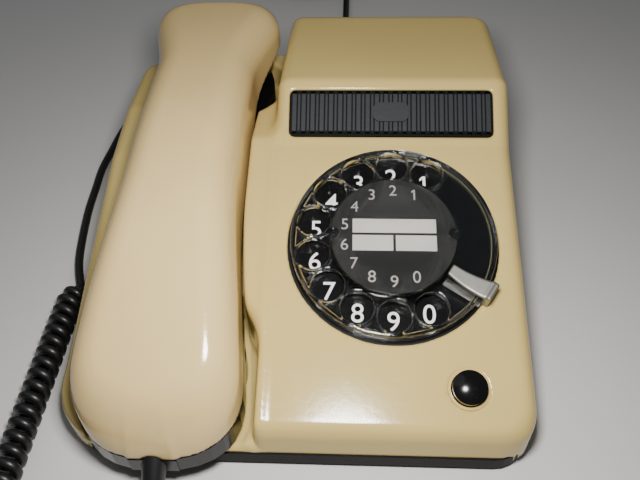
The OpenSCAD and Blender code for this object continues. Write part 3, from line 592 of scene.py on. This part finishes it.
def housingField(s, x, y, z):
    front, rear = s["front"], s["rear"]
    (creaseY, creaseZ), (ridgeY, ridgeZ) = s["crease"], s["ridge"]
    block = sideOutline(s, [(front, s["faceZ"]), (creaseY, creaseZ), (ridgeY, ridgeZ),
                            (rear, ridgeZ - s["rearDrop"])], s["blockRadii"])
    ledge = sideOutline(s, s["ledgeTop"], s["ledgeRadii"])
    left = sideOutline(s, s["leftTop"], s["leftRadii"])
    half = s["width"] / 2
    plan = outlineField(roundedOutline([(-half, front), (-half, rear), (half, rear), (half, front)],
                                       s["planRadii"]), x, y)
    blockBody = roundMax(outlineField(block, y, z), s["blockLeft"] + lean(y, s["lean"]) - x, s["edge"])
    ledgeBody = hardMax(outlineField(ledge, y, z), x - s["blockLeft"] - s["ledgeLap"], handsetSet["x"] - x)
    leftBody = np.maximum(outlineField(left, y, z), x + 0 * y - handsetSet["x"])
    body = roundMin(blockBody, np.minimum(ledgeBody, leftBody), s["fillet"])
    body = roundMax(body, plan, s["edge"])
    body = roundMax(body, -scoopField(scoopSet, x, y, z), scoopSet["edge"])
    body = roundMax(body, -cradleField(handsetSet, cradleSet, x, y, z), cradleSet["edge"])
    shell = np.maximum(body, -body - s["wall"])
    for px, py in s["posts"]:
        post = np.maximum(np.hypot(x - px, y - py) - s["postR"], body)
        shell = np.minimum(shell, np.maximum(post, 0 * z))
    for cx, up, r, edge in ((dialSet["centre"][0], dialSet["up"], dialSet["openR"], dialSet["openEdge"]),
                            (buttonSet["x"], buttonSet["up"], buttonSet["holeR"], buttonSet["edge"])):
        u, v, w = onFace(x, y, z, cx, up)
        shell = roundMax(shell, -np.maximum(np.hypot(u, v) - r, -w - s["faceCut"]), edge)
    a = math.radians(grilleSet["tilt"])
    dy = y - creaseY - grilleSet["up"] * math.cos(a)
    dz = z - creaseZ - grilleSet["up"] * math.sin(a)
    v, w = dy * math.cos(a) + dz * math.sin(a), dz * math.cos(a) - dy * math.sin(a)
    wide, tall = (n / 2 + grilleSet["play"] - grilleSet["corner"] for n in grilleSet["size"])
    past = np.maximum(np.abs(x - grilleSet["x"]) - wide, 0), np.maximum(np.abs(v) - tall, 0)
    window = np.hypot(*past) - grilleSet["corner"]
    shell = roundMax(shell, -np.maximum(window, np.abs(w) - grilleSet["cut"]), grilleSet["edge"])
    hookY, hookR = s["hookHole"]
    shell = np.maximum(shell, hookR - np.hypot(x - handsetSet["x"], y - hookY) + 0 * z)
    for gx in s["glands"]:
        gland = hardMax(np.hypot(x - gx, z - s["glandZ"]) - s["glandR"], rear - s["glandDeep"] - y)
        shell = np.maximum(shell, -gland)
    skirt = hardMax(s["skirt"] - z, -s["skirtThick"] - plan)
    return np.maximum(shell, np.minimum(s["bottom"] - z, skirt))


def addCarved(name, field, axes, cell, material, body, stands, turn=None, crease=None):
    points, quads = carve(field, axes, cell)
    places = [Vector(p) for p in points]
    if turn:
        places = [turn @ p for p in places]
    return addPiece(name, [p * mm for p in places], quads.tolist(), material, body, stands, crease)


print("housing")
axes = gridAxes((-bodySet["width"] / 2, bodySet["front"], bodySet["skirt"]),
                (bodySet["width"] / 2, bodySet["rear"], bodySet["top"]), bodySet["cell"])
addCarved("housingShell", housingField(bodySet, *axes), axes, bodySet["cell"], cream, "body",
          ("housing",))


def handsetField(s, x, y, z):
    top, slope = archTop(s, y)
    plan = outlineField(handsetOutline(s, 0), x, y)
    solid = roundMax((z - top) / np.hypot(1, slope), plan, s["edge"])
    shell = np.maximum(solid, -solid - s["wall"])
    cut = (handsetTop(s, y) - s["split"] - z) / math.hypot(1, s["slope"])
    shell = roundMax(shell, cut + 0 * x, s["rimEdge"])
    dip = math.radians(s["reliefDip"])
    ry, rz = y - s["relief"][0], z - s["relief"][1]
    along = -ry * math.cos(dip) - rz * math.sin(dip)
    off = np.hypot(x - s["x"], rz * math.cos(dip) - ry * math.sin(dip))
    return np.maximum(shell, -np.maximum(off - s["reliefR"], -along))


print("handset")
low, high = zip(handsetSet["across"], (handsetSet["front"], handsetSet["rear"]), handsetSet["heights"])
axes = gridAxes(low, high, handsetSet["cell"])
addCarved("handsetShell", handsetField(handsetSet, *axes), axes, handsetSet["cell"], warmCream, "handset",
          ("handset_upper_shell",))

dialTilt = Matrix.Rotation(math.radians(dialSet["tilt"]), 4, "X")
dialTurn = Matrix.Translation(Vector(dialSet["centre"])) @ dialTilt
digits = "1234567890"
holeStep = 360 / 14
holeAngles = [math.radians(90 - holeStep + k * holeStep) for k in range(len(digits))]
wheelSet = {  # heights are a middle and half a thickness
    "r": 39.7, "rimThick": 1.6, "holeR": 6.4, "ringR": 31.8, "hubR": 24.4, "bossR": 6, "shaftR": 3.05,
    "disc": (3.7, 1.5), "discEdge": 0.7, "rim": (2.1, 2.9), "rimEdge": 0.4, "rimFillet": 0.5,
    "hub": (5.1, 1.5), "hubEdge": 0.3, "boss": (1.6, 3), "lipR": 0.55, "lipHalf": 0.5, "lip": (3.5, 1.75),
    "lipEdge": 0.4, "lipFillet": 0.3, "holeEdge": 0.5, "clips": (-23, 23), "clipR": 2.3, "clipFrom": 5.2,
    "heights": (-1.4, 6.6), "cell": 0.4,
}


def layer(z, heights):
    return np.abs(z - heights[0]) - heights[1]


def wheelField(s, x, y, z):
    r = np.hypot(x, y)
    disc = roundMax(r - s["r"] + 0 * z, layer(z, s["disc"]), s["discEdge"])
    ring = hardMax(r - s["r"], s["r"] - s["rimThick"] - r)
    rim = roundMax(ring + 0 * z, layer(z, s["rim"]), s["rimEdge"])
    hub = roundMax(r - s["hubR"] + 0 * z, layer(z, s["hub"]), s["hubEdge"])
    boss = np.maximum(r - s["bossR"] + 0 * z, layer(z, s["boss"]))
    wheel = np.minimum(roundMin(disc, rim, s["rimFillet"]), np.minimum(hub, boss))
    for a in holeAngles:
        hole = np.hypot(x - s["ringR"] * math.cos(a), y - s["ringR"] * math.sin(a)) - s["holeR"]
        lip = roundMax(np.abs(hole - s["lipR"]) - s["lipHalf"] + 0 * z, layer(z, s["lip"]), s["lipEdge"])
        wheel = roundMin(wheel, lip, s["lipFillet"])
        wheel = roundMax(wheel, -hole + 0 * z, s["holeEdge"])
    wheel = np.maximum(wheel, s["shaftR"] - r + 0 * z)
    for px in s["clips"]:
        wheel = np.maximum(wheel, -np.maximum(np.hypot(x - px, y) - s["clipR"], s["clipFrom"] - z))
    return wheel


print("dial")
low, high = zip((-wheelSet["r"], wheelSet["r"]), (-wheelSet["r"], wheelSet["r"]), wheelSet["heights"])
axes = gridAxes(low, high, wheelSet["cell"])
addCarved("fingerWheel", wheelField(wheelSet, *axes), axes, wheelSet["cell"], acrylic, "dial",
          ("finger_wheel",), dialTurn)

plateDigitSet = {"ringR": 31.1, "drop": 0.65, "z": -1.66, "size": 10.6, "weight": 0.02, "depth": 0.04}
cardDigitSet = {"ringR": 19.2, "drop": 0, "z": 7.03, "size": 6.6, "weight": 0.0, "depth": 0.02}
flag = ((-0.04, 0.35), (-0.17, 0.23), (-0.17, 0.13), (-0.04, 0.23))  # the font's 1 is a plain stroke
boxSides = ((3, 2, 1, 0), (4, 5, 6, 7), (0, 1, 5, 4), (1, 2, 6, 5), (2, 3, 7, 6), (3, 0, 4, 7))


def glyphs(name, s, material, body, turn):  # digits as one raised print
    verts, faces = [], []
    for letter, a in zip(digits, holeAngles):
        x, y = s["ringR"] * math.cos(a), s["ringR"] * math.sin(a) - s["drop"]
        text = bpy.data.curves.new("digit", "FONT")
        text.body, text.size, text.offset, text.extrude = letter, s["size"], s["weight"], s["depth"]
        text.align_x, text.align_y = "CENTER", "CENTER"
        holder = bpy.data.objects.new("digit", text)
        mesh = bpy.data.meshes.new_from_object(holder)
        low = len(verts)
        xs, ys = [v.co.x for v in mesh.vertices], [v.co.y for v in mesh.vertices]
        shift = Vector((x - (min(xs) + max(xs)) / 2, y - (min(ys) + max(ys)) / 2, s["z"]))
        verts += [turn @ (v.co + shift) * mm for v in mesh.vertices]
        faces += [tuple(low + i for i in f.vertices) for f in mesh.polygons]
        if letter == "1":
            low = len(verts)
            verts += [turn @ Vector((x + i * s["size"], y + j * s["size"], s["z"] + e)) * mm
                      for e in (-s["depth"], s["depth"]) for i, j in flag]
            faces += [tuple(low + i for i in side) for side in boxSides]
        bpy.data.objects.remove(holder)
        bpy.data.curves.remove(text)
        bpy.data.meshes.remove(mesh)
    return addPiece(name, verts, faces, material, body, (), 30)


glyphs("plateDigits", plateDigitSet, whiteInk, "body", dialTurn)
glyphs("cardDigits", cardDigitSet, cardInk, "dial", dialTurn)
labelSet = {"z": 7.0, "thick": 0.05, "sunk": 0.2,
            "places": [(-15.7, 0.7, 16.3, 6.6), (-15.7, -6.8, -0.2, -0.3), (0.8, -6.8, 16.3, -0.3)]}


def labelFaces(s, turn):
    verts, faces = [], []
    for x0, y0, x1, y1 in s["places"]:
        low = len(verts)
        for z in (s["z"] - s["sunk"], s["z"] + s["thick"]):
            verts += [turn @ Vector((x, y, z)) * mm for x, y in ((x0, y0), (x1, y0), (x1, y1), (x0, y1))]
        faces += [tuple(low + i for i in side) for side in boxSides]
    return verts, faces


verts, faces = labelFaces(labelSet, dialTurn)
addPiece("cardLabels", verts, faces, labelPaper, "dial", (), 30)

stopSet = {  # each box is a centre, half its size and the rounding of its edges
    "low": (24.2, -5, -2.7), "high": (43.5, 5, 8.3), "cell": 0.3, "angle": -33, "from": 25, "reach": 16,
    "bow": 0.9, "skew": 0.6, "narrow": 0.72, "widen": 0.5, "fillet": 0.8,
    "arm": ((33.3, 0, 6.45), (8.3, 3.2, 0.9), 0.7), "leg": ((41.9, 0.4, 3.9), (1.45, 3.8, 4.2), 0.7),
    "tongue": ((40.8, 0, -1.2), (0.4, 3.0, 1.5), 0.2), "strip": ((32.9, -2.7, -1.4), (7.9, 1.7, 0.3), 0.2),
}


def boxField(x, y, z, centre, half, r):  # a block with rounded edges
    q = [np.abs(c - m) - h + r for c, m, h in zip((x, y, z), centre, half)]
    outside = np.sqrt(sum(np.maximum(d, 0) ** 2 for d in q))
    return outside + np.minimum(hardMax(*(d + 0 * outside for d in q)), 0) - r


def stopField(s, x, y, z):  # finger stop: a waisted arm over the wheel, hooked round its rim
    t = np.clip((x - s["from"]) / s["reach"], 0, 1)
    across = (y + s["skew"] * np.sin(math.pi * t)) / (s["narrow"] + s["widen"] * t)
    arm = boxField(x, across, z - s["bow"] * t * t, *s["arm"])
    leg, tongue, strip = (boxField(x, y, z, *s[key]) for key in ("leg", "tongue", "strip"))
    return np.minimum(np.minimum(roundMin(arm, leg, s["fillet"]), tongue), strip)


axes = gridAxes(stopSet["low"], stopSet["high"], stopSet["cell"])
stopTurn = dialTurn @ Matrix.Rotation(math.radians(stopSet["angle"]), 4, "Z")
addCarved("fingerStop", stopField(stopSet, *axes), axes, stopSet["cell"], zinc, "body",
          ("finger_stop",), stopTurn)

print("grille")
ribSet = {"pitch": 3.9, "half": 8.3, "root": -0.5, "chamfer": 0.2,
          "bars": ((22, 2.0, 0.65), (21, 1.3, 0.52))}


def ribFaces(s, turn):  # pairs of bars over the grille's slots, a broad one and a narrow one
    verts, faces = [], []
    for count, width, top in s["bars"]:
        for k in range(count):
            x, c = (k - (count - 1) / 2) * s["pitch"], s["chamfer"]
            low = len(verts)
            for z, grown in ((s["root"], 0), (top - c, 0), (top, -c)):
                w, d = width / 2 + grown, s["half"] + grown
                verts += [turn @ Vector((x + i * w, j * d, z)) * mm
                          for i, j in ((-1, -1), (1, -1), (1, 1), (-1, 1))]
            faces += [tuple(low + i for i in (3, 2, 1, 0)), tuple(low + i for i in (8, 9, 10, 11))]
            for a in (0, 4):
                faces += [tuple(low + a + i for i in (j, (j + 1) % 4, (j + 1) % 4 + 4, j + 4))
                          for j in range(4)]
    return verts, faces


grilleTilt = math.radians(grilleSet["tilt"])
creaseY, creaseZ = bodySet["crease"]
grilleAt = Vector((grilleSet["x"], creaseY + grilleSet["up"] * math.cos(grilleTilt),
                   creaseZ + grilleSet["up"] * math.sin(grilleTilt)))
grilleTurn = Matrix.Translation(grilleAt) @ Matrix.Rotation(grilleTilt, 4, "X")
grillePlastic = plastic("grillePlastic", looks["grille"])
verts, faces = ribFaces(ribSet, grilleTurn)
addPiece("grilleRibs", verts, faces, grillePlastic, "body", (), 30)

print("finishes of the other pieces")
rubber = plastic("rubber", looks["rubber"])
# painted shade for the grille's slots, behind the ribs
grillePaintedShade = plastic("grillePaintedShade", looks["grillePaintedShade"])
palePlastic = plastic("palePlastic", looks["pale"])
board = plastic("phenolicBoard", looks["board"])
varnish = plastic("copperVarnish", looks["varnish"])
ochre = plastic("ochreLacquer", looks["ochre"])
laminated = plastic("laminations", looks["laminated"])
finishes = {
    "base_plate": blackSatin, "rubber_feet": rubber, "housing_screws": steel, "grille": grillePaintedShade,
    "grille_badge": grillePlastic, "dial_case": blackSatin, "number_plate": blackGloss, "dial_frame": brass,
    "pulse_contacts": brass, "governor_cup": steel, "dial_spring": wireSteel, "number_card": cardGrey,
    "card_cover": acrylic, "cover_clips": acrylic, "dial_shaft": steel, "drive_gear": brass,
    "pulse_cam": palePlastic, "governor_shaft": steel, "governor_weights": brass, "button_collar": cream,
    "button_cap": blackGloss, "button_spring": wireSteel, "button_contacts": brass,
    "hook_plunger": blackSatin, "hook_spring": wireSteel, "hook_switch": board, "ringer_frame": steel,
    "ringer_coils": varnish, "ringer_magnet": iron, "ringer_pivot": steel, "clapper": steel,
    "gong_large": nickel, "gong_small": nickel, "gong_posts": steel, "gong_screws": steel,
    "circuit_board": board, "speech_transformer": laminated, "line_capacitor": ochre, "resistors": varnish,
    "terminal_block": palePlastic, "line_gland": cordVinyl, "line_plug": blackSatin,
    "handset_gland": cordVinyl, "handset_lower_shell": blackGloss, "ear_cap": blackGloss,
    "mouth_cap": blackGloss, "receiver_capsule": steel, "transmitter_capsule": steel,
    "handset_screws": steel, "handset_strain_relief": cordVinyl,
}
for nodeName, material in finishes.items():
    mesh = bpy.data.objects[nodeName].data
    if mesh.materials:
        for i in range(len(mesh.materials)):
            mesh.materials[i] = material
    else:
        mesh.materials.append(material)

print("floor and light")
lightSet = {  # each lamp is a place, an aim, a size, a power and a colour
    "key": ((20, -140, 220), (10, -30, 40), 45, 0.82, (1, 0.98, 0.95)),
    "fill": ((-500, 300, 900), (0, 0, 0), 900, 0.8, (0.96, 0.98, 1)),
    "sky": 0.1, "skyColour": (0.93, 0.96, 1, 1),
}
floorSet = {"half": 4, "roughness": 0.85, "scale": 6, "dark": (0.62, 0.61, 0.6, 1),
            "light": (0.66, 0.65, 0.64, 1)}


def addLight(name, place, aim, size, power, colour):
    data = bpy.data.lights.new(name, "AREA")
    data.shape, data.size, data.energy, data.color = "DISK", size * mm, power, colour
    lamp = bpy.data.objects.new(name, data)
    lamp.location = Vector(place) * mm
    lamp.rotation_euler = (Vector(aim) - Vector(place)).to_track_quat("-Z", "Y").to_euler()
    bpy.context.collection.objects.link(lamp)


for name in ("key", "fill"):
    addLight(name, *lightSet[name])
world = bpy.data.worlds.new("studio")
world.use_nodes = True
sky = world.node_tree.nodes["Background"]
sky.inputs["Color"].default_value = lightSet["skyColour"]
sky.inputs["Strength"].default_value = lightSet["sky"]
bpy.context.scene.world = world

half = floorSet["half"]
floorMesh = bpy.data.meshes.new("floor")
floorMesh.from_pydata([(-half, -half, 0), (half, -half, 0), (half, half, 0), (-half, half, 0)], [],
                      [(0, 1, 2, 3)])
floorPaint = Paint("paleFloor", {"Roughness": floorSet["roughness"]})
floorTone = floorPaint.noise(floorSet["scale"], 3)
floorPaint.feed("Base Color", floorPaint.blend(floorTone, floorSet["dark"], floorSet["light"]))
floorMesh.materials.append(floorPaint.mat)
floor = bpy.data.objects.new("floor", floorMesh)
bpy.context.collection.objects.link(floor)
